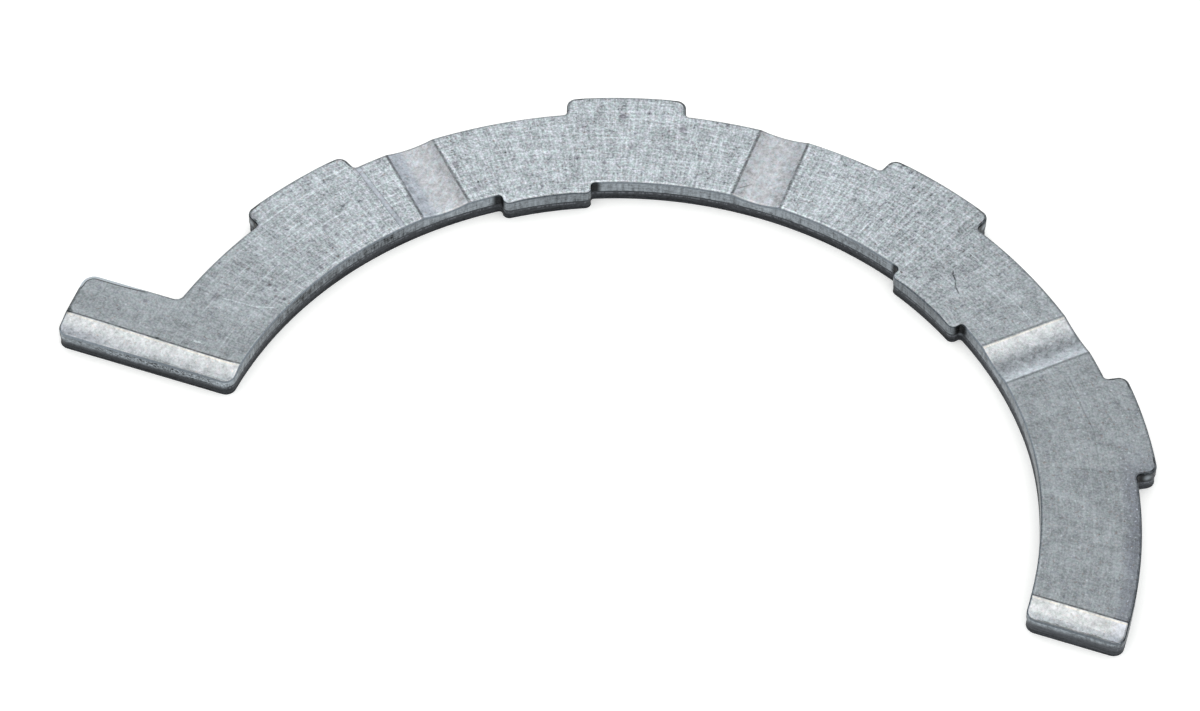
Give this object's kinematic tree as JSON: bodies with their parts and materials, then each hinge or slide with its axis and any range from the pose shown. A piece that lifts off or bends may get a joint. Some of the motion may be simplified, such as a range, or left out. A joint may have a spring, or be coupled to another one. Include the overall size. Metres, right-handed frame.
{
  "type": "thrust washer",
  "caption": "Half-ring flat thrust washer with lugs on its outer edge, tabs on its bore, oil grooves across its bearing face and a square anti-rotation foot at one end.",
  "frame": {"origin": "middle of the washer's length and width, on its back face; the shaft's axis passes through (0.004622, -0.025847), outside the metal", "axes": "+X along the parting line from the foot to the plain end, +Y from the parting line to the crown of the half ring, +Z out of the bearing face, along the shaft"},
  "size_m": [0.1092, 0.0498, 0.0025],
  "materials": {
    "washer_metal": "fine crossed brushing on the bearing face, bright coined grooves, edge half sheared and half torn"
  },
  "bodies": {
    "root": {"thrust_washer": "washer_metal"}
  },
  "joints": []
}
